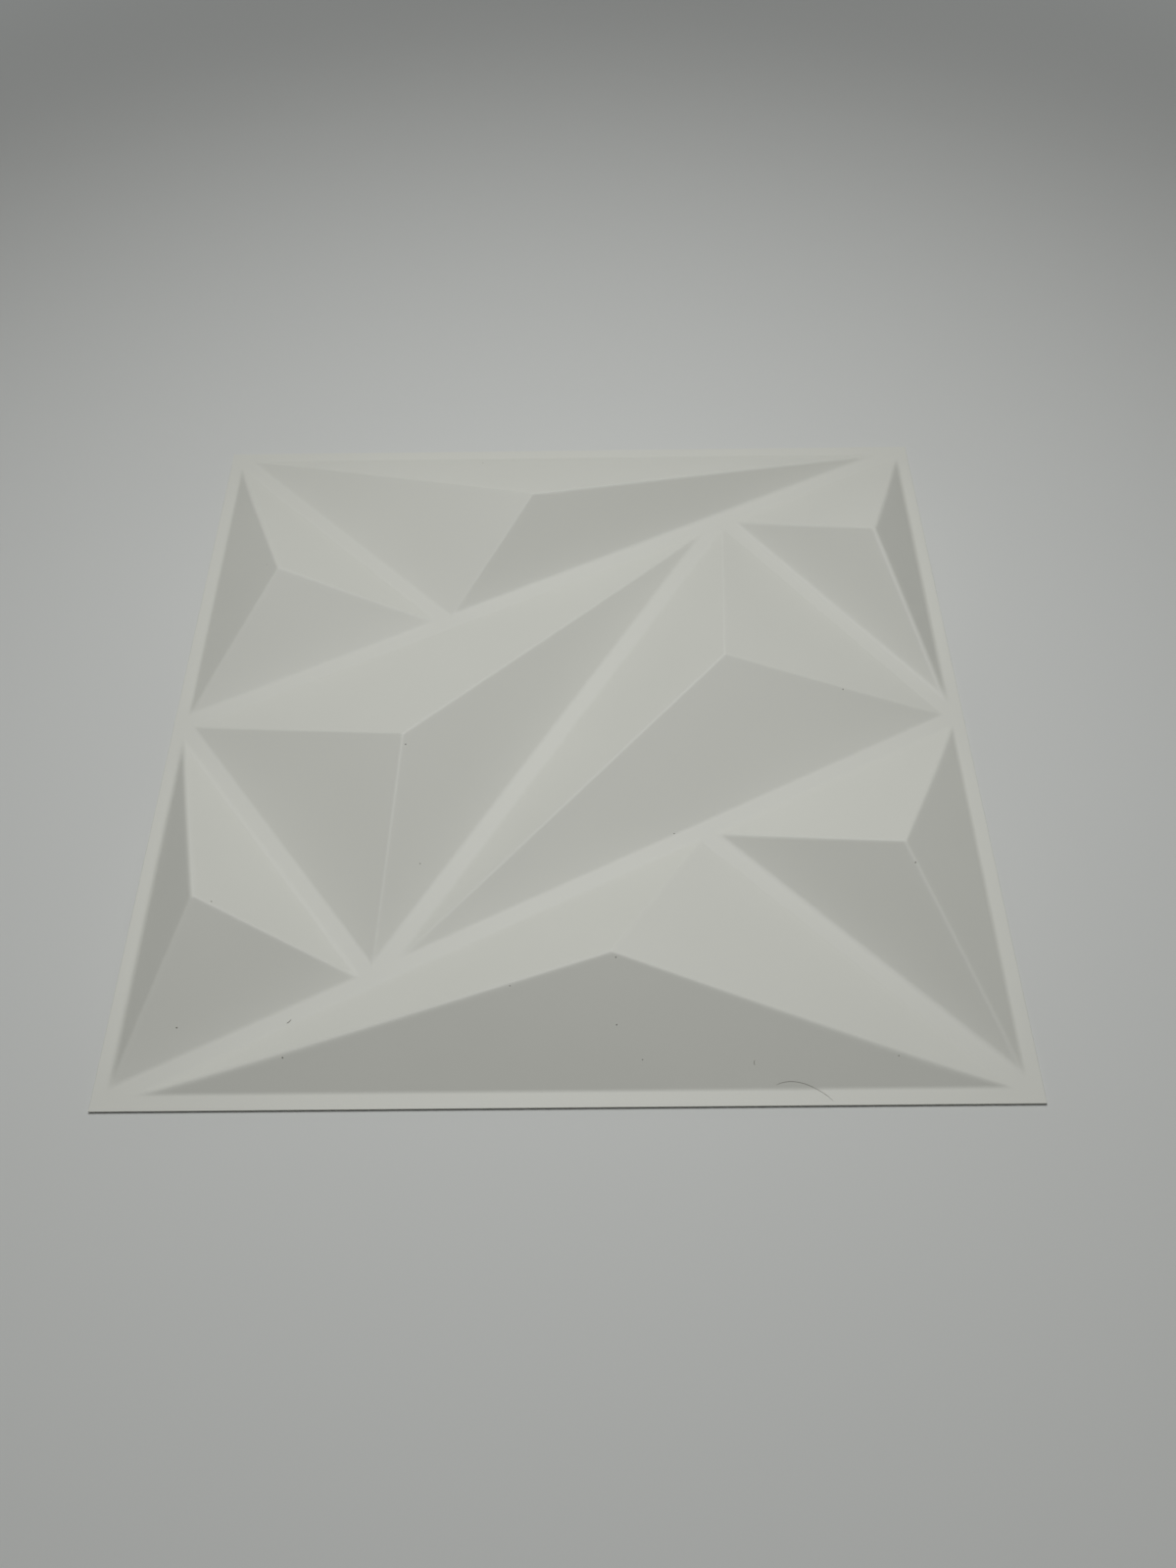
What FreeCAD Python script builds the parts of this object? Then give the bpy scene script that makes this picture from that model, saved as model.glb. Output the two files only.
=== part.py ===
import FreeCAD, Part
import Sketcher
import os

# A square wall tile, vacuum formed from one plastic sheet, lying on its back with its face up.
# Eight low three-sided pyramids with off-centre peaks stand in a net of flat lands inside a flat rim.
# The pattern looks the same after a half turn, so four pyramids are drawn and the other four follow.
# Lengths are in millimetres, x to the right, y up the tile, z up from the back of the rim.

doc = FreeCAD.newDocument("wall_panel_tile")
sizes = doc.addObject("Spreadsheet::Sheet", "sizes")

# The sheet: its outline, its thickness measured straight up, and the height of the sharp peaks above it.
side = 300.0
sheet_thickness = 0.7
relief_height = 17.5

# The flat strips: the rim all round, the lands between neighbouring pyramids, and how far inside the
# tile's edges the lands' middle lines end.
rim_width = 5.3
land_width = 6.4
knot_inset = 3.1

# Two knots on the long land that climbs from the left side's middle to the upper right corner:
# how far left and right of the tile's centre the other lands leave it.
left_knot_offset = 47.8
right_knot_offset = 65.0

# Peaks of the four drawn pyramids: distance to the left or right of the centre, and distance above it.
upper_left_peak_across = 115.0
upper_left_peak_up = 64.5
top_peak_across = 14.3
top_peak_up = 104.6
upper_right_peak_across = 124.3
upper_right_peak_up = 82.6
centre_right_peak_across = 59.1
centre_right_peak_up = 17.6

# The rounded ridges, and the softer hollow round each foot.
ridge_radius = 2.0
foot_radius = 3.0

driving = {
    "side": side,
    "sheet_thickness": sheet_thickness,
    "relief_height": relief_height,
    "rim_width": rim_width,
    "land_width": land_width,
    "knot_inset": knot_inset,
    "left_knot_offset": left_knot_offset,
    "right_knot_offset": right_knot_offset,
    "upper_left_peak_across": upper_left_peak_across,
    "upper_left_peak_up": upper_left_peak_up,
    "top_peak_across": top_peak_across,
    "top_peak_up": top_peak_up,
    "upper_right_peak_across": upper_right_peak_across,
    "upper_right_peak_up": upper_right_peak_up,
    "centre_right_peak_across": centre_right_peak_across,
    "centre_right_peak_up": centre_right_peak_up,
    "ridge_radius": ridge_radius,
    "foot_radius": foot_radius,
}
for row, (name, value) in enumerate(driving.items(), start=1):
    sizes.set("A" + str(row), name)
    sizes.set("B" + str(row), str(value))
    sizes.setAlias("B" + str(row), name)
doc.recompute()

form = doc.addObject("PartDesign::Body", "form")
origin = {feature.Role: feature for feature in form.Origin.OriginFeatures}

# Sketcher's numbers for a line's two ends, for the sketch's origin and for its x axis.
START, END = range(1, 3)
ORIGIN_POINT = (-1, START)
X_AXIS = -1


def level_sketch(name, height):
    """A sketch of the form on a level plane at the height that an expression gives."""
    sketch = form.newObject("Sketcher::SketchObject", name)
    sketch.AttachmentSupport = [(origin["XY_Plane"], "")]
    sketch.MapMode = "FlatFace"
    sketch.setExpression("AttachmentOffset.Base.z", height)
    return sketch


def bind(sketch, kind, places, value, expression):
    """One dimension of a sketch, bound to the sheet."""
    index = sketch.addConstraint(Sketcher.Constraint(kind, *places, abs(value)))
    sketch.setExpression("Constraints[" + str(index) + "]", expression)


def pin(sketch, place, across, up):
    """Holds a sketch point at its distances from the tile's centre, each a value with its expression."""
    for kind, (value, expression) in (("DistanceX", across), ("DistanceY", up)):
        if value == 0:
            sketch.addConstraint(Sketcher.Constraint("PointOnObject", *place, X_AXIS))
        elif value > 0:
            bind(sketch, kind, ORIGIN_POINT + place, value, expression)
        else:
            bind(sketch, kind, place + ORIGIN_POINT, value, expression)


def closed_lines(sketch, corners, construction=False):
    """A closed chain of straight lines through the corners; returns the lines' numbers."""
    count = len(corners)
    lines = []
    for index in range(count):
        start = FreeCAD.Vector(*corners[index], 0)
        end = FreeCAD.Vector(*corners[(index + 1) % count], 0)
        lines.append(sketch.addGeometry(Part.LineSegment(start, end), construction))
    for index in range(count):
        following = lines[(index + 1) % count]
        sketch.addConstraint(Sketcher.Constraint("Coincident", lines[index], END, following, START))
    return lines


# The forming block: the tile's square outline, two sheets deep, with the sheet's front on top.
half = side / 2
outline = level_sketch("outline", "-sizes.sheet_thickness")
square = closed_lines(outline, [(-half, -half), (half, -half), (half, half), (-half, half)])
for line, direction in zip(square, ("Horizontal", "Vertical", "Horizontal", "Vertical")):
    outline.addConstraint(Sketcher.Constraint(direction, line))
outline.addConstraint(Sketcher.Constraint("Symmetric", square[0], START, square[1], END, *ORIGIN_POINT))
bind(outline, "Distance", (square[0],), side, "sizes.side")
bind(outline, "Distance", (square[1],), side, "sizes.side")
doc.recompute()
block = form.newObject("PartDesign::Pad", "block")
block.Profile = outline
block.setExpression("Length", "2 * sizes.sheet_thickness")

# Knots of the net that the lands' middle lines join: at the corners, at the middles of the left and right
# sides, and two on the straight line from the left side's middle to the upper right corner.
reach = half - knot_inset
reach_text = "(sizes.side / 2 - sizes.knot_inset)"
left_up_text = "(" + reach_text + " - sizes.left_knot_offset) / 2"
right_up_text = "(" + reach_text + " + sizes.right_knot_offset) / 2"
right_up = (reach + right_knot_offset) / 2
knots = {
    "upper_left": ((-reach, reach_text), (reach, reach_text)),
    "upper_right": ((reach, reach_text), (reach, reach_text)),
    "left_side": ((-reach, reach_text), (0, "")),
    "right_side": ((reach, reach_text), (0, "")),
    "left": ((-left_knot_offset, "sizes.left_knot_offset"), ((reach - left_knot_offset) / 2, left_up_text)),
    "right": ((right_knot_offset, "sizes.right_knot_offset"), (right_up, right_up_text)),
    "right_turned": ((-right_knot_offset, "sizes.right_knot_offset"), (-right_up, right_up_text)),
}

RIM_GAP = (rim_width - knot_inset, "sizes.rim_width - sizes.knot_inset")
LAND_GAP = (land_width / 2, "sizes.land_width / 2")


def moved_in(corners, gaps):
    """The corners of a triangle whose sides, each from one corner to the next, are moved in by the gaps."""
    moved = []
    for index in range(3):
        corner = FreeCAD.Vector(*corners[index], 0)
        before = (FreeCAD.Vector(*corners[index - 1], 0) - corner).normalize()
        after = (FreeCAD.Vector(*corners[(index + 1) % 3], 0) - corner).normalize()
        step = (after * gaps[index - 1] + before * gaps[index]) / before.cross(after).Length
        moved.append((corner.x + step.x, corner.y + step.y))
    return moved


def pyramid(name, knot_names, first_gap, peak_across, peak_up):
    """A pyramid drawn up to a sharp peak, on a foot inside three knots. Its first side, from the first knot
    to the second, keeps the first gap from the knots' line, and the others keep half a land."""
    foot = level_sketch(name + "_foot", "sizes.sheet_thickness")
    corners = [(knots[knot][0][0], knots[knot][1][0]) for knot in knot_names]
    net = closed_lines(foot, corners, construction=True)
    gaps = (first_gap, LAND_GAP, LAND_GAP)
    sides = closed_lines(foot, moved_in(corners, [value for value, expression in gaps]))
    for line, knot in zip(net, knot_names):
        pin(foot, (line, START), *knots[knot])
    for net_line, foot_line, gap in zip(net, sides, gaps):
        foot.addConstraint(Sketcher.Constraint("Parallel", net_line, foot_line))
        bind(foot, "Distance", (net_line, START, foot_line), *gap)
    peak = level_sketch(name + "_peak", "sizes.sheet_thickness + sizes.relief_height")
    point = peak.addGeometry(Part.Point(FreeCAD.Vector(peak_across, peak_up, 0)))
    across_text = "sizes." + name + "_peak_across"
    pin(peak, (point, START), (peak_across, across_text), (peak_up, "sizes." + name + "_peak_up"))
    doc.recompute()
    loft = form.newObject("PartDesign::AdditiveLoft", name)
    loft.Profile = foot
    loft.Sections = [(peak, ["Vertex1"])]
    loft.Ruled = True
    doc.recompute()
    return loft


upper_left = pyramid("upper_left", ("upper_left", "left_side", "left"), RIM_GAP,
                     -upper_left_peak_across, upper_left_peak_up)
top = pyramid("top", ("upper_right", "upper_left", "left"), RIM_GAP,
              -top_peak_across, top_peak_up)
upper_right = pyramid("upper_right", ("right_side", "upper_right", "right"), RIM_GAP,
                      upper_right_peak_across, upper_right_peak_up)
centre_right = pyramid("centre_right", ("right", "right_turned", "right_side"), LAND_GAP,
                       centre_right_peak_across, centre_right_peak_up)
half_turn = form.newObject("PartDesign::PolarPattern", "half_turn")
half_turn.Originals = [upper_left, top, upper_right, centre_right]
half_turn.Axis = (origin["Z_Axis"], [""])
half_turn.Angle = 360
half_turn.Occurrences = 2
form.Tip = half_turn
doc.recompute()

# Drawn plastic rounds over every ridge and peak, and sweeps into the lands at every foot.
SAME_LEVEL = 1e-4


def edge_names(shape, wanted):
    """Names of the shape's edges for which a test holds."""
    return ["Edge" + str(number) for number, edge in enumerate(shape.Edges, start=1) if wanted(edge)]


def climbs_to_peak(edge):
    return edge.BoundBox.ZMax > sheet_thickness + relief_height - SAME_LEVEL


def lies_at_foot(edge):
    box = edge.BoundBox
    level = abs(box.ZMin - sheet_thickness) < SAME_LEVEL and abs(box.ZMax - sheet_thickness) < SAME_LEVEL
    return level and max(-box.XMin, box.XMax, -box.YMin, box.YMax) < half - rim_width / 2


ridges = form.newObject("PartDesign::Fillet", "ridges")
ridges.Base = (half_turn, edge_names(half_turn.Shape, climbs_to_peak))
ridges.setExpression("Radius", "sizes.ridge_radius")
doc.recompute()
feet = form.newObject("PartDesign::Fillet", "feet")
feet.Base = (ridges, edge_names(ridges.Shape, lies_at_foot))
feet.setExpression("Radius", "sizes.foot_radius")
doc.recompute()

# The sheet's back is its front one thickness lower, because the drawn sheet thins where it stretches.
back = doc.addObject("App::Link", "back")
back.LinkedObject = form
back.LinkTransform = False
back.setExpression("Placement.Base.z", "-sizes.sheet_thickness")
tile = doc.addObject("Part::Cut", "tile")
tile.Base = form
tile.Tool = back
tile.Label = "wall_panel_tile"
doc.recompute()

for item in doc.Objects:
    if "Invalid" in item.State or "Error" in item.State:
        raise RuntimeError(item.Name + " failed: " + str(item.State))
if tile.Shape.isNull() or not tile.Shape.isValid() or len(tile.Shape.Solids) != 1:
    raise RuntimeError("the tile is not one valid solid")
print("volume", round(tile.Shape.Volume, 2), "flat blank", round(side * side * sheet_thickness, 2))

os.makedirs("parts", exist_ok=True)
tile.Shape.exportStep("parts/" + tile.Label + ".step")
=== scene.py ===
import math

import bmesh
import bpy
import numpy as np
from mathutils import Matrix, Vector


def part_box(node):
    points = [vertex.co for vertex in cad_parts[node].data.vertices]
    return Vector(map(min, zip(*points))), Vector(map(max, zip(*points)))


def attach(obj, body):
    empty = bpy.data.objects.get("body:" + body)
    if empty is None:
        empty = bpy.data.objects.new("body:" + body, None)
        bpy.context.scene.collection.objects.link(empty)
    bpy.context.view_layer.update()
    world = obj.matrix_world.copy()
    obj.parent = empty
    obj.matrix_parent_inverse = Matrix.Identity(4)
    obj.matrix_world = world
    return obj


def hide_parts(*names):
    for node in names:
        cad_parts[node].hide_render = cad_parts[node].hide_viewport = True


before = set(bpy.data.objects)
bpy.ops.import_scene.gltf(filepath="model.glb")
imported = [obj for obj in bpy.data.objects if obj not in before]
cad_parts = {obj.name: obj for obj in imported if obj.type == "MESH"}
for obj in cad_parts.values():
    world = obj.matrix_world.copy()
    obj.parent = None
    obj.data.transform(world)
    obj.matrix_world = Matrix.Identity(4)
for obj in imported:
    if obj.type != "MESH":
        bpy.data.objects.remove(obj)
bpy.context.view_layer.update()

# The tile is one sheet of rigid white PVC, warmed and drawn down over a mould by vacuum, then cut square.
# Eight low pyramids with off-centre peaks stand in a net of flat lands inside a flat rim. The sheet rounds
# over every ridge, sweeps into the lands at every foot, and is hollow behind. It is glued up by its lands.
MM = 0.001
low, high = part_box("wall_panel_tile")
half = (high[0] - low[0]) / 2
sheet = 0.7 * MM
relief = 17.5 * MM
rim_width = 5.3 * MM
land_width = 6.4 * MM
knot_inset = 3.1 * MM
ridge_radius = 2.0 * MM
foot_radius = 3.0 * MM
cut_radius = 0.15 * MM

# In a valley between two pyramids the warm sheet bridges the mould's corners. The feet are rounder there,
# and a facet starts less steep by the ease, most of which it makes up within the valley's depth.
valley_radius = 5.5 * MM
valley_ease = 0.25
valley_depth = 3.5 * MM
valley_lag = valley_depth * (1 - math.exp(-relief / valley_depth))

# The lands' middle lines join the knots of a net. Two knots lie on the long land that climbs from the left
# side's middle to the upper right corner. The net looks the same after a half turn.
reach = half - knot_inset
left_across = 47.8 * MM
right_across = 65.0 * MM
upper_left = np.array((-reach, reach))
upper_right = np.array((reach, reach))
left_side = np.array((-reach, 0.0))
right_side = np.array((reach, 0.0))
left_knot = np.array((-left_across, (reach - left_across) / 2))
right_knot = np.array((right_across, (reach + right_across) / 2))
half_net = np.array((upper_left, upper_right, left_side, left_knot, right_knot))
net_knots = np.concatenate((half_net, -half_net))

# Each drawn pyramid has its three knots, its first side's gap from the net, and its peak's place in mm.
rim_gap = rim_width - knot_inset
land_gap = land_width / 2
drawn = (
    ((upper_left, left_side, left_knot), rim_gap, (-115.0, 64.5)),
    ((upper_right, upper_left, left_knot), rim_gap, (-14.3, 104.6)),
    ((right_side, upper_right, right_knot), rim_gap, (124.3, 82.6)),
    ((right_knot, -right_knot, right_side), land_gap, (59.1, 17.6)),
)
pyramids = [(turn * np.array(knots), gap, turn * np.array(peak) * MM)
            for turn in (1, -1) for knots, gap, peak in drawn]


def foot_corners(knots, first_gap):
    """The foot's triangle: the knots' triangle with its first side moved in by the first gap and the others
    by half a land. A corner steps along its two sides, by each other side's gap over the angle's sine."""
    gaps = np.array((first_gap, land_gap, land_gap))
    after = np.roll(knots, -1, axis=0) - knots
    after = after / np.linalg.norm(after, axis=1)[:, None]
    before = -np.roll(after, 1, axis=0)
    sine = np.abs(before[:, 0] * after[:, 1] - before[:, 1] * after[:, 0])
    step = after * np.roll(gaps, 1)[:, None] + before * gaps[:, None]
    return knots + step / sine[:, None]


def soft_min(first, second, blend):
    """The lower of two heights, less a parabola where they differ by under the blend, so a crease rounds."""
    overlap = np.maximum(blend - np.abs(first - second), 0)
    return np.minimum(first, second) - overlap ** 2 / (4 * blend)


def eased(height, ease):
    """A plane's height where the sheet bridges a valley: the slope starts lower by the ease and comes back by
    an exponential over the valley's depth. The foot and the peak keep their heights."""
    up = np.maximum(height, 0)
    lag = valley_depth * (1 - np.exp(-up / valley_depth))
    return height - ease * (np.minimum(height, 0) + lag - height * valley_lag / relief)


def relief_height(plan, feet, peak, first_gap):
    """Height over the lands: the soft minimum of three slopes that rise from the foot's sides to the peak,
    then its soft maximum with zero. A blend is the radius times half the squared change of slope, which
    gives its parabola that radius; where three slopes meet, the third takes the blend of the nearer one.
    A side at the rim rises straight, and a side in a valley is eased."""
    along = np.roll(feet, -1, axis=0) - feet
    inward = np.column_stack((-along[:, 1], along[:, 0]))
    rise = np.sum(inward * (peak - feet), axis=1)
    slopes = inward * relief / rise[:, None]
    first_in_valley = first_gap == land_gap
    eases = valley_ease * np.array((first_in_valley, 1, 1))
    planes = [eased((plan - foot) @ slope, ease) for foot, slope, ease in zip(feet, slopes, eases)]
    bend = ridge_radius / 2 * np.sum((slopes[:, None] - slopes[None]) ** 2, axis=2)
    radius = np.where((first_in_valley, True, True), valley_radius, foot_radius)
    slope_share = 1 - eases * (1 - valley_lag / relief)
    sweep = radius / 2 * slope_share ** 2 * np.sum(slopes ** 2, axis=1)
    two = soft_min(planes[0], planes[1], bend[0, 1])
    share = np.clip(0.5 + (planes[1] - planes[0]) / (2 * bend[0, 1]), 0, 1)
    bend_two = share * bend[0, 2] + (1 - share) * bend[1, 2]
    three = soft_min(two, planes[2], bend_two)
    share_two = np.clip(0.5 + (planes[2] - two) / (2 * bend_two), 0, 1)
    sweep_two = share * sweep[0] + (1 - share) * sweep[1]
    sweep_three = share_two * sweep_two + (1 - share_two) * sweep[2]
    return -soft_min(-three, np.zeros_like(three), sweep_three)


# The mesh is dense where the sheet bends: along the net's lines towards their knots, and across each cell at
# these shares of the way from the net to the foot, and from the foot to the peak.
line_points = 33
crowding = 2.4
across_line = np.linspace(-1, 1, line_points)
line_steps = 0.5 + 0.5 * np.sign(across_line) * (1 - (1 - np.abs(across_line)) ** crowding)
land_rings = np.array((0, 0.4, 0.6, 0.7, 0.78, 0.84, 0.89, 0.93, 0.97))
facet_rings = np.array((0, 0.003, 0.006, 0.01, 0.015, 0.022, 0.03, 0.045, 0.07, 0.12, 0.2, 0.33, 0.48, 0.63,
                        0.76, 0.86, 0.92, 0.95, 0.968, 0.98, 0.988, 0.994))
line_slack = 0.001


def net_line(start, end):
    """Shares along a line of the net, from 0 up to 1, crowded towards each knot that lies on it."""
    length = np.linalg.norm(end - start)
    along = (end - start) / length
    offset = net_knots - start
    share = offset @ along / length
    aside = np.abs(offset @ np.array((-along[1], along[0])))
    on_line = (aside < line_slack * MM) & (share > -line_slack) & (share < 1 + line_slack)
    stops = np.sort(share[on_line])
    return np.concatenate([a + (b - a) * line_steps[:-1] for a, b in zip(stops[:-1], stops[1:])])


def round_loop(corners, shares):
    """Points round a closed chain of straight lines, at the given shares along each line."""
    ends = np.roll(corners, -1, axis=0)
    return np.concatenate([a + (b - a) * share[:, None] for a, b, share in zip(corners, ends, shares)])


def ring_faces(rings, count):
    """Quads between neighbouring closed rings of equally many points, numbered ring after ring."""
    ring, place = np.meshgrid(np.arange(rings - 1), np.arange(count), indexing="ij")
    here = ring * count
    following = (place + 1) % count
    corners = (here + place, here + following, here + count + following, here + count + place)
    return np.stack(corners, axis=-1).reshape(-1, 4)


def pyramid_face(knots, first_gap, peak):
    """One cell of the net as rings round the peak. Each ring lies some way from the net's lines to the foot,
    or from the foot to the peak, and every point takes the relief's height there."""
    feet = foot_corners(knots, first_gap)
    shares = [net_line(a, b) for a, b in zip(knots, np.roll(knots, -1, axis=0))]
    net, foot = round_loop(knots, shares), round_loop(feet, shares)
    lands = net + (foot - net) * land_rings[:, None, None]
    facets = foot + (peak - foot) * facet_rings[:, None, None]
    plan = np.vstack((lands.reshape(-1, 2), facets.reshape(-1, 2), peak))
    points = np.column_stack((plan, relief_height(plan, feet, peak, first_gap)))
    count, rings = len(net), len(land_rings) + len(facet_rings)
    last_ring = (rings - 1) * count + np.arange(count)
    tip = np.full(count, rings * count)
    fan = np.stack((last_ring, np.roll(last_ring, -1), tip), axis=1)
    return points, ring_faces(rings, count), fan


rim_steps = np.array((0, 0.6, 0.9))
cut_steps = 5


def rim_band():
    """The rim outside the net, and the cut edge: a profile of steps outwards and heights, from the rim's
    front over two small rounds to its back, carried round the net's outer square."""
    square = np.array((upper_left, left_side, -upper_right, -upper_left, right_side, upper_right))
    path = round_loop(square, [net_line(a, b) for a, b in zip(square, np.roll(square, -1, axis=0))])
    turn = np.linspace(0, math.pi / 2, cut_steps)
    cut_out = knot_inset - cut_radius + cut_radius * np.sin(turn)
    cut_drop = cut_radius * (1 - np.cos(turn))
    flat_out = knot_inset * rim_steps
    flat_back = np.zeros(len(rim_steps))
    out = np.concatenate((flat_out, cut_out, cut_out[::-1], flat_out[::-1]))
    height = np.concatenate((flat_back + sheet, sheet - cut_drop, cut_drop[::-1], flat_back))
    plan = path * (1 + out[:, None, None] / reach)
    level = np.broadcast_to(height[:, None, None], plan.shape[:2] + (1,))
    return np.concatenate((plan, level), axis=2).reshape(-1, 3), ring_faces(len(out), len(path))[:, ::-1]


seam_width = 0.0001 * MM


def add_piece(name, surfaces, material):
    """A smooth piece at the origin, from surfaces that are each an array of points followed by arrays of
    faces. Points that coincide are merged, which closes the seams between the surfaces."""
    points, faces, start = [], [], 0
    for vertices, *face_sets in surfaces:
        points.append(vertices)
        for face_set in face_sets:
            faces += (face_set + start).tolist()
        start += len(vertices)
    mesh = bpy.data.meshes.new(name)
    mesh.from_pydata(np.concatenate(points).tolist(), [], faces)
    shell = bmesh.new()
    shell.from_mesh(mesh)
    bmesh.ops.remove_doubles(shell, verts=shell.verts, dist=seam_width)
    shell.to_mesh(mesh)
    shell.free()
    mesh.shade_smooth()
    mesh.materials.append(material)
    piece = bpy.data.objects.new(name, mesh)
    bpy.context.scene.collection.objects.link(piece)
    return piece


def linear(hex_colour):
    """An sRGB hex colour as linear red, green, blue and alpha."""
    value = np.array([int(hex_colour[place:place + 2], 16) for place in (1, 3, 5)]) / 255
    value = np.where(value <= 0.04045, value / 12.92, ((value + 0.055) / 1.055) ** 2.4)
    return (*value.tolist(), 1.0)


def empty_tree(owner):
    """The node tree of a material or a world, with no nodes in it yet."""
    owner.use_nodes = True
    owner.node_tree.nodes.clear()
    return owner.node_tree


def add_node(tree, kind, inputs, **settings):
    """A shader node with its settings; each input takes a value or is linked to another node's output."""
    node = tree.nodes.new(kind)
    for name, value in settings.items():
        setattr(node, name, value)
    for socket, value in inputs.items():
        if isinstance(value, bpy.types.NodeSocket):
            tree.links.new(value, node.inputs[socket])
        else:
            node.inputs[socket].default_value = value
    return node


# Vacuum-formed matt PVC: the film's fine sandy grain takes off the gloss, so it shades evenly with a broad
# weak sheen. Its colour clouds a little where the sheet was drawn, over hand-sized patches. The real grain
# is about 0.2 mm, too fine to show, so it is drawn three times as coarse.
grain_size = 0.6 * MM
grain_depth = 0.03 * MM
cloud_size = 55 * MM
pvc = bpy.data.materials.new("matt_white_pvc_vacuum_formed")
pvc_tree = empty_tree(pvc)
pvc_place = add_node(pvc_tree, "ShaderNodeTexCoord", {}).outputs["Object"]
clouds = add_node(pvc_tree, "ShaderNodeTexNoise",
                  {"Vector": pvc_place, "Scale": 1 / cloud_size, "Detail": 3.0, "Roughness": 0.55})
pvc_tone = add_node(pvc_tree, "ShaderNodeMix",
                    {"Factor": clouds.outputs["Fac"], "A": linear("#D3D4CC"), "B": linear("#D7D8D0")},
                    data_type="RGBA")
grain = add_node(pvc_tree, "ShaderNodeTexNoise",
                 {"Vector": pvc_place, "Scale": 1 / grain_size, "Detail": 2.0, "Roughness": 0.6})
gloss = add_node(pvc_tree, "ShaderNodeMapRange",
                 {"Value": clouds.outputs["Fac"], "To Min": 0.52, "To Max": 0.60})
sandy = add_node(pvc_tree, "ShaderNodeBump",
                 {"Height": grain.outputs["Fac"], "Strength": 0.25, "Distance": grain_depth})
pvc_surface = add_node(pvc_tree, "ShaderNodeBsdfPrincipled",
                       {"Base Color": pvc_tone.outputs["Result"], "Roughness": gloss.outputs["Result"],
                        "IOR": 1.53, "Normal": sandy.outputs["Normal"]})
add_node(pvc_tree, "ShaderNodeOutputMaterial", {"Surface": pvc_surface.outputs["BSDF"]})

surfaces = [rim_band()]
for knots, gap, peak in pyramids:
    back, quads, fan = pyramid_face(knots, gap, peak)
    surfaces.append((back + (0, 0, sheet), quads, fan))
    surfaces.append((back, quads[:, ::-1], fan[:, ::-1]))
tile = add_piece("formed_sheet", surfaces, pvc)
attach(tile, "root")
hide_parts("wall_panel_tile")

# Dust has settled on the face, and the plastic's static charge holds it there. The grains are grit and
# rolled lint up to half a millimetre wide. They lie where they fell, most of them towards the near side.
# Each grain has its place across and up the tile and its width.
grains = MM * np.array((
    (-126.0, -123.5, 0.46), (-90.0, -134.5, 0.44), (-118.0, -84.0, 0.38), (104.0, 8.0, 0.42),
    (117.5, -72.0, 0.42), (16.0, -126.0, 0.40), (24.0, -136.0, 0.34), (-18.0, -114.5, 0.32),
    (-38.0, 140.5, 0.32), (-121.0, 69.0, 0.24), (105.0, -135.5, 0.32), (-58.0, -21.5, 0.42),
    (38.0, -50.5, 0.36), (-51.5, -63.5, 0.34), (16.0, -106.5, 0.36),
))
grain_flatness = 0.5
grain_sink = 0.2
two_lobes, three_lobes = 0.18, 0.1
grain_rings, grain_sides = 11, 16


def front_height(plan):
    """Height of the tile's front: one sheet and the highest of the reliefs, each zero outside its foot."""
    reliefs = [relief_height(plan, foot_corners(knots, gap), peak, gap) for knots, gap, peak in pyramids]
    return sheet + np.max(reliefs, axis=0)


def dust_grains(places, widths):
    """Lumps that lie on the face. A grain is half an ellipse, from its underside's middle out to its edge
    and in to its top, carried round its place. Its radius waves twice and three times in a turn, and its
    height is measured from the face at each point, below which the underside sinks a little."""
    rise = np.linspace(-math.pi / 2, math.pi / 2, grain_rings)
    round_it = np.linspace(0, 2 * math.pi, grain_sides, endpoint=False)
    phase = np.arange(len(places))[:, None]
    lobes = two_lobes * np.cos(2 * round_it + phase) + three_lobes * np.cos(3 * round_it + 2 * phase)
    radius = widths[:, None] / 2 * (1 + lobes)
    reach_out = np.cos(rise)[None, :, None] * radius[:, None, :]
    compass = np.column_stack((np.cos(round_it), np.sin(round_it)))
    plan = places[:, None, None] + reach_out[..., None] * compass
    lift = np.where(rise > 0, grain_flatness, grain_flatness * grain_sink) * np.sin(rise)
    height = front_height(plan) + lift[None, :, None] * widths[:, None, None]
    quads = ring_faces(grain_rings, grain_sides)
    return [(points.reshape(-1, 3), quads) for points in np.concatenate((plan, height[..., None]), axis=3)]


# House dust: dull grey-brown grit and lint, which scatters light and never shines. Its tone changes from
# speck to speck, over a fifth of a millimetre.
speck_size = 0.2 * MM
dust = bpy.data.materials.new("settled_house_dust")
dust_tree = empty_tree(dust)
dust_place = add_node(dust_tree, "ShaderNodeTexCoord", {}).outputs["Object"]
dust_specks = add_node(dust_tree, "ShaderNodeTexNoise",
                       {"Vector": dust_place, "Scale": 1 / speck_size, "Detail": 2.0, "Roughness": 0.6})
dust_tone = add_node(dust_tree, "ShaderNodeMix",
                     {"Factor": dust_specks.outputs["Fac"], "A": linear("#55524B"), "B": linear("#827D72")},
                     data_type="RGBA")
dust_surface = add_node(dust_tree, "ShaderNodeBsdfPrincipled",
                        {"Base Color": dust_tone.outputs["Result"], "Roughness": 0.95, "IOR": 1.45})
add_node(dust_tree, "ShaderNodeOutputMaterial", {"Surface": dust_surface.outputs["BSDF"]})
settled = add_piece("dust_grains", dust_grains(grains[:, :2], grains[:, 2]), dust)
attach(settled, "root")

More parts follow.
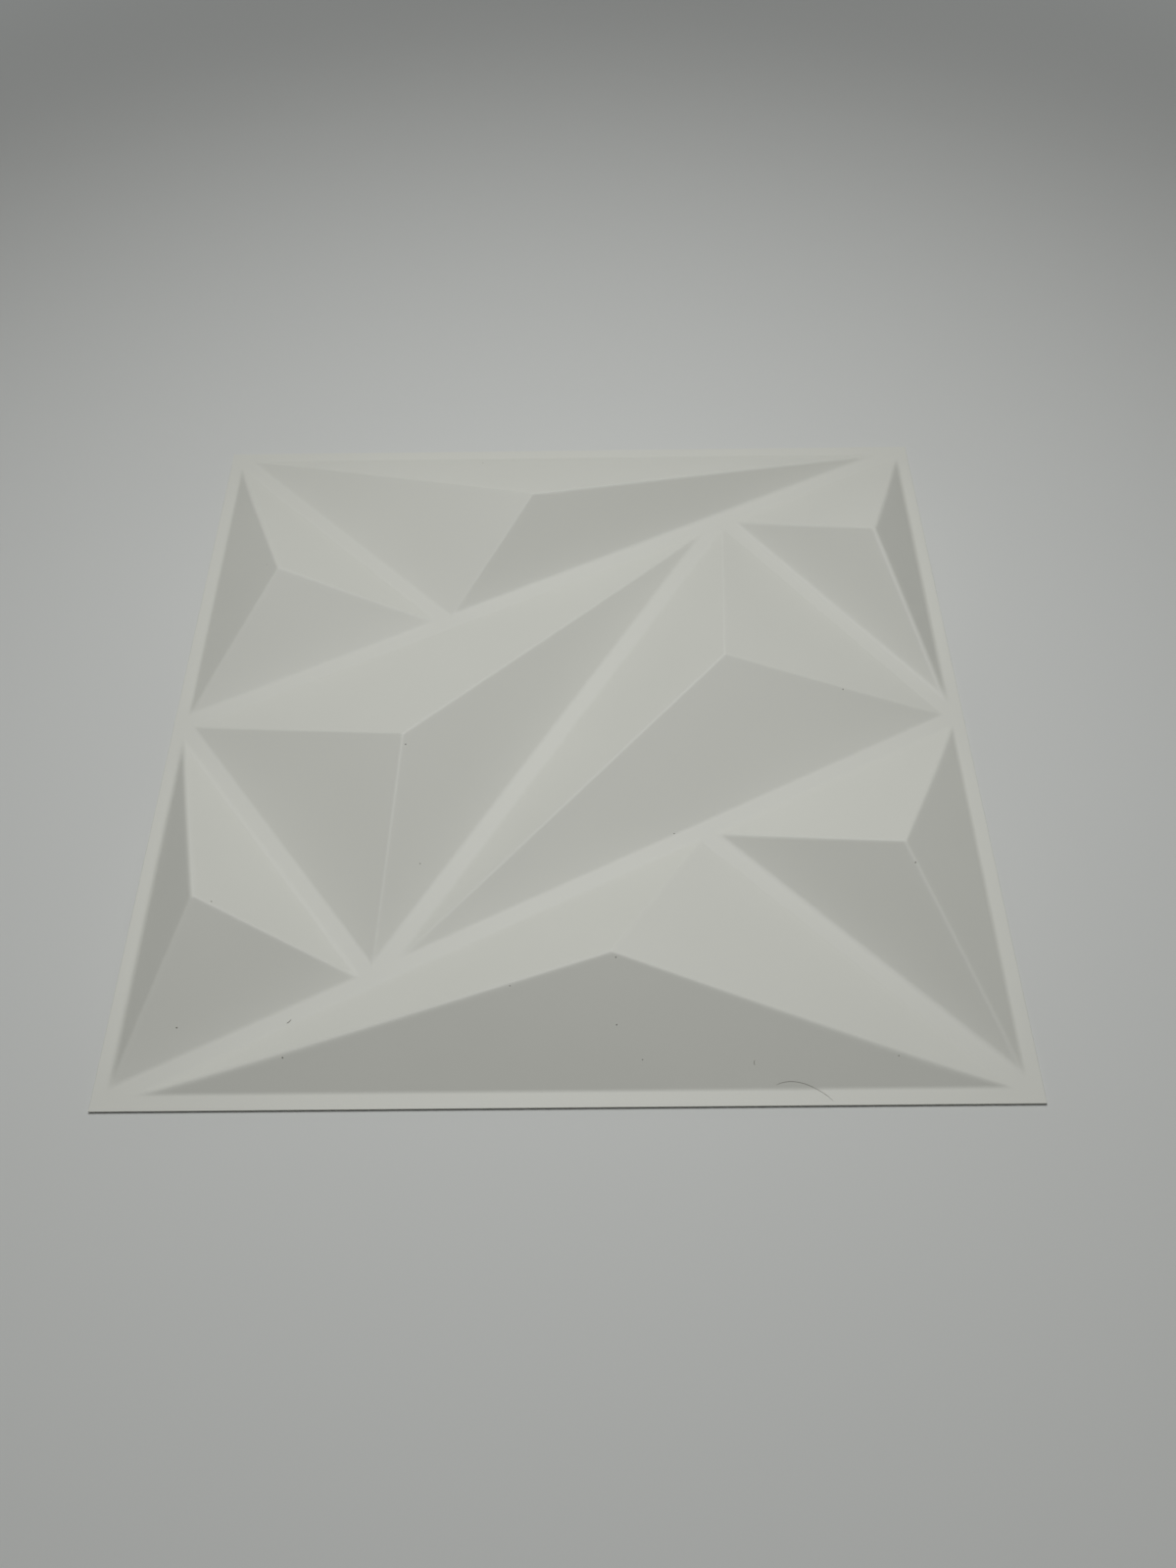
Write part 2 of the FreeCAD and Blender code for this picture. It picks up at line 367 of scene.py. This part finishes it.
# Three loose fibres cling to the face as well: a hair that curls from the front facet down over the rim, and
# two bits of lint. Each lies along the face in one easy bend and tapers off at its ends.
fibre_bends = MM * np.array((
    ((66.0, -143.5), (71.5, -140.9), (79.5, -143.9), (83.5, -148.7)),
    ((-91.3, -121.1), (-90.9, -120.9), (-90.3, -120.4), (-90.1, -119.8)),
    ((59.5, -136.4), (59.2, -136.9), (59.2, -137.4), (59.4, -137.9)),
))
fibre_radii = MM * np.array((0.045, 0.085, 0.06))
fibre_rings, fibre_sides = 49, 8
end_bluntness = 8


def fibre(bend, full_radius):
    """A round thread along a cubic Bezier curve on the face, from the bend's first point to its last, with
    its middle line one radius above the face. The radius tapers as a high ellipse, so that the ends close."""
    along = 0.5 - 0.5 * np.cos(np.linspace(0, math.pi, fibre_rings))
    rest = 1 - along
    line = np.column_stack((rest ** 3, 3 * rest ** 2 * along, 3 * rest * along ** 2, along ** 3)) @ bend
    heading = np.gradient(line, axis=0)
    heading = heading / np.linalg.norm(heading, axis=1)[:, None]
    aside = np.column_stack((-heading[:, 1], heading[:, 0]))
    radius = full_radius * (1 - (2 * along - 1) ** end_bluntness) ** 0.5
    turn = np.linspace(0, 2 * math.pi, fibre_sides, endpoint=False)
    plan = line[:, None] + radius[:, None, None] * np.cos(turn)[None, :, None] * aside[:, None]
    height = (front_height(line) + full_radius)[:, None] + radius[:, None] * np.sin(turn)
    points = np.concatenate((plan, height[..., None]), axis=2).reshape(-1, 3)
    return points, ring_faces(fibre_rings, fibre_sides)


fibres = add_piece("dust_fibres", [fibre(*each) for each in zip(fibre_bends, fibre_radii)], dust)
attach(fibres, "root")

# The tile lies on a plain pale sheet of matt paper, wide enough to fill the picture. Far from the tile the
# paper sweeps up into a backdrop: to the eye its tone runs over into the backdrop's, and the light that it
# throws on the tile stays as it is.
floor_half = 2.5
floor_gap = 0.2 * MM
sweep_start, sweep_end = 0.45, 0.8
backdrop_tone = linear("#858786")


def backdrop_rays(tree):
    """One for the rays that show the backdrop, straight to the eye or in a gloss or a glass, zero for its
    light on things: the sum of the camera, glossy and transmission rays."""
    rays = add_node(tree, "ShaderNodeLightPath", {}).outputs
    seen = add_node(tree, "ShaderNodeMath", {0: rays["Is Camera Ray"], 1: rays["Is Glossy Ray"]},
                    operation="ADD")
    seen = add_node(tree, "ShaderNodeMath", {0: seen.outputs["Value"], 1: rays["Is Transmission Ray"]},
                    operation="ADD")
    return seen.outputs["Value"]


paper = bpy.data.materials.new("pale_grey_paper")
paper_tree = empty_tree(paper)
paper_place = add_node(paper_tree, "ShaderNodeTexCoord", {}).outputs["Object"]
far_out = add_node(paper_tree, "ShaderNodeVectorMath", {0: paper_place}, operation="LENGTH")
swept = add_node(paper_tree, "ShaderNodeMapRange",
                 {"Value": far_out.outputs["Value"], "From Min": sweep_start, "From Max": sweep_end},
                 interpolation_type="SMOOTHSTEP")
swept_seen = add_node(paper_tree, "ShaderNodeMath",
                      {0: swept.outputs["Result"], 1: backdrop_rays(paper_tree)}, operation="MULTIPLY")
paper_near = add_node(paper_tree, "ShaderNodeBsdfPrincipled",
                      {"Base Color": linear("#D4D6D3"), "Roughness": 0.9})
paper_far = add_node(paper_tree, "ShaderNodeEmission", {"Color": backdrop_tone})
paper_mixed = add_node(paper_tree, "ShaderNodeMixShader",
                       {0: swept_seen.outputs["Value"], 1: paper_near.outputs["BSDF"],
                        2: paper_far.outputs["Emission"]})
add_node(paper_tree, "ShaderNodeOutputMaterial", {"Surface": paper_mixed.outputs["Shader"]})
floor_corners = np.array(((-1, -1, 0), (1, -1, 0), (1, 1, 0), (-1, 1, 0))) * floor_half - (0, 0, floor_gap)
floor = add_piece("floor", [(floor_corners, np.array(((0, 1, 2, 3),)))], paper)

# Plain soft studio light over the tile's middle line: a wide softbox high up, and a smaller lamp whose narrow
# beam falls on the tile's near half, so the light fades a little towards the corners. The studio itself is
# nearly dark, so a valley takes its fill from the facets beside it.
lamps = (
    ("softbox", (0.0, 0.5, 1.6), (0.0, 0.0, 0.0), 2.0, 180, 8.45),
    ("beam", (0.0, 0.25, 0.8), (0.0, -0.1, 0.0), 0.5, 90, 0.975),
)
for name, lamp_place, lamp_aim, width, spread, watts in lamps:
    lamp_data = bpy.data.lights.new(name, "AREA")
    lamp_data.shape = "DISK"
    lamp_data.size = width
    lamp_data.spread = math.radians(spread)
    lamp_data.energy = watts
    lamp = bpy.data.objects.new(name, lamp_data)
    lamp.location = lamp_place
    lamp.rotation_euler = (math.atan2(lamp_aim[1] - lamp_place[1], lamp_place[2] - lamp_aim[2]), 0, 0)
    bpy.context.scene.collection.objects.link(lamp)

studio_strength = 0.03
studio = bpy.data.worlds.new("dim_studio")
studio_tree = empty_tree(studio)
studio_light = add_node(studio_tree, "ShaderNodeBackground",
                        {"Color": linear("#FFFFFF"), "Strength": studio_strength})
studio_backdrop = add_node(studio_tree, "ShaderNodeBackground", {"Color": backdrop_tone, "Strength": 1.0})
studio_mixed = add_node(studio_tree, "ShaderNodeMixShader",
                        {0: backdrop_rays(studio_tree), 1: studio_light.outputs["Background"],
                         2: studio_backdrop.outputs["Background"]})
add_node(studio_tree, "ShaderNodeOutputWorld", {"Surface": studio_mixed.outputs["Shader"]})
bpy.context.scene.world = studio

# The camera looks down on the tile from its near side, turned and rolled by about half a degree. Its focal
# length is given in pixels of an upright picture of this height.
image_height = 1600
focal_pixels = 1254.8
camera_data = bpy.data.cameras.new("camera")
camera_data.sensor_fit = "VERTICAL"
camera_data.sensor_height = 36.0
camera_data.lens = camera_data.sensor_height * focal_pixels / image_height
camera = bpy.data.objects.new("camera", camera_data)
camera.location = (9.5 * MM, -277.5 * MM, 377.1 * MM)
camera.rotation_euler = (math.radians(33.449), math.radians(0.545), math.radians(-0.332))
bpy.context.scene.collection.objects.link(camera)
bpy.context.scene.camera = camera
bpy.context.scene.view_settings.view_transform = "Standard"
